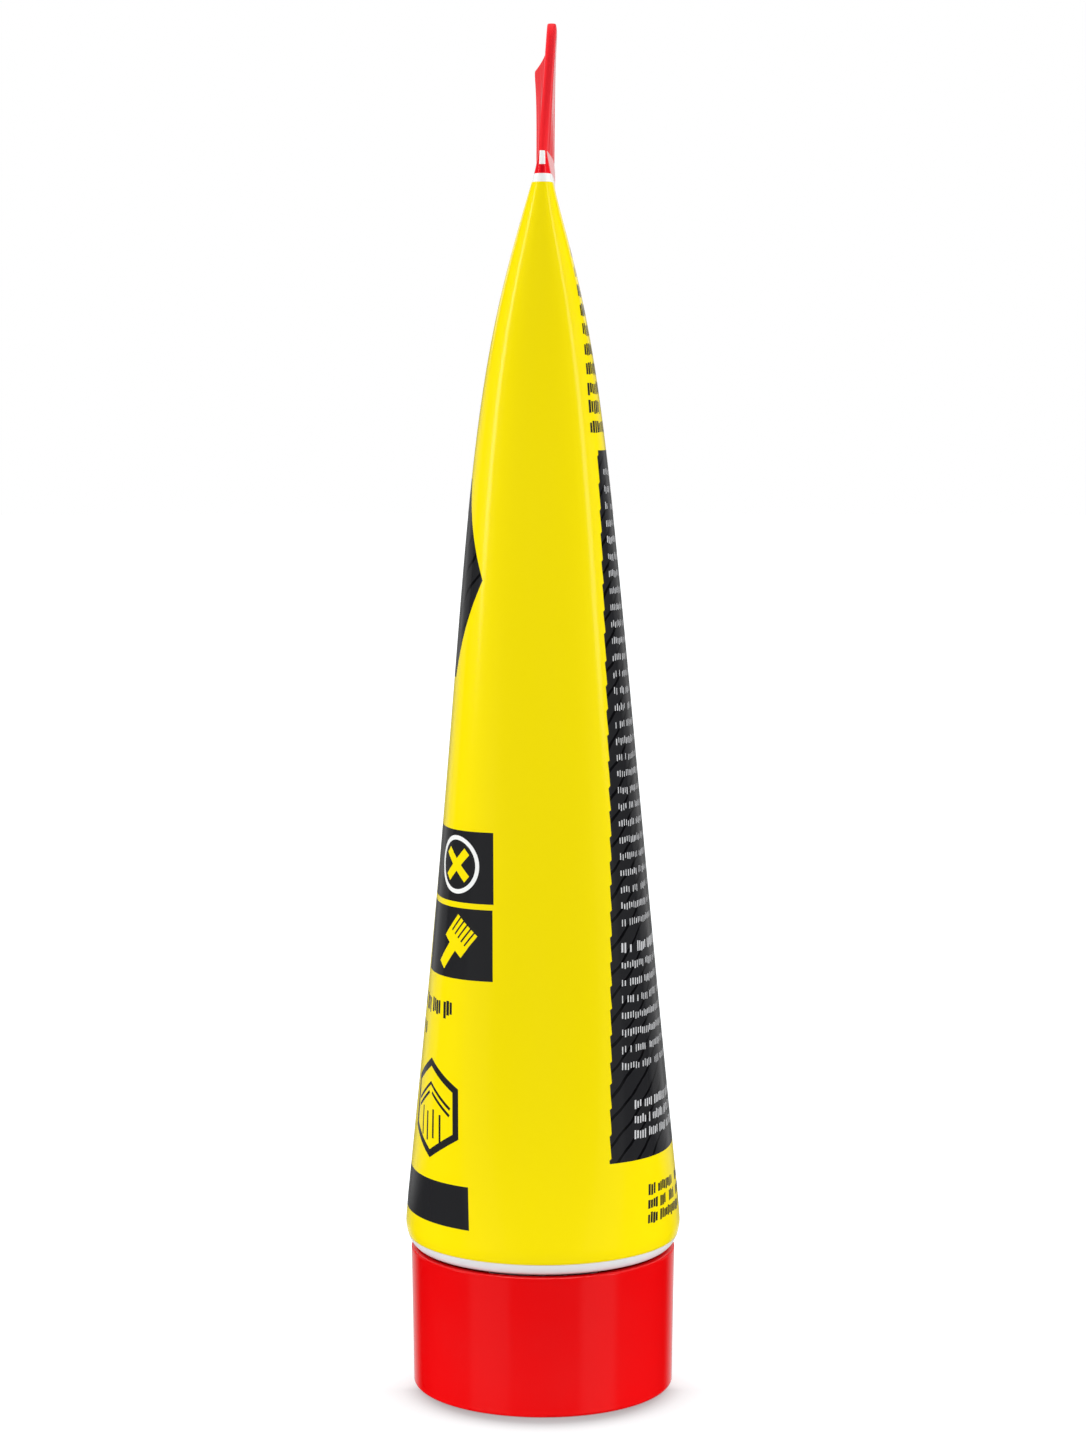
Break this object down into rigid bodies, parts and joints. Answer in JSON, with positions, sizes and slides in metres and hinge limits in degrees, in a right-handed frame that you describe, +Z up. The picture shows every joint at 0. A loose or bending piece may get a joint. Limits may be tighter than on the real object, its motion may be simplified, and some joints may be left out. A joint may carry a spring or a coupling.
{
  "type": "construction adhesive tube",
  "caption": "Filled plastic squeeze tube that stands on its screw cap, round at the cap and flattened to a tall welded fin with a peg hole.",
  "frame": {"origin": "centre of the cap's standing face, which is the bottom centre of the bounding box", "axes": "+Z up along the tube from the cap to the fin; X is the thin direction across the fin, Y runs along the fin's width"},
  "size_m": [0.04, 0.063, 0.1921],
  "materials": {
    "sleeve_film": "gloss",
    "white_moulding": "satin",
    "seal_foil": "satin",
    "liner_foam": "matte",
    "cap_moulding": "gloss",
    "paste": "satin"
  },
  "bodies": {
    "cap_body": {"cap": "cap_moulding"},
    "liner_body": {"cap_liner": "liner_foam"},
    "tube_body": {"sleeve": "sleeve_film", "shoulder": "white_moulding", "outlet_seal": "seal_foil", "adhesive": "paste"}
  },
  "joints": [
    {"name": "cap_turn", "type": "hinge", "parent": "cap_body", "child": "liner_body", "pos_m": [0, 0, 0], "axis": [0, 0, 1], "range_deg": [0, 1080]},
    {"name": "cap_lift", "type": "slide", "parent": "liner_body", "child": "tube_body", "axis": [0, 0, 1], "range_m": [0, 0.009]}
  ],
  "couplings": [
    {"joint": "cap_lift", "follows": "cap_turn", "m_per_rad": 0.00047746}
  ]
}
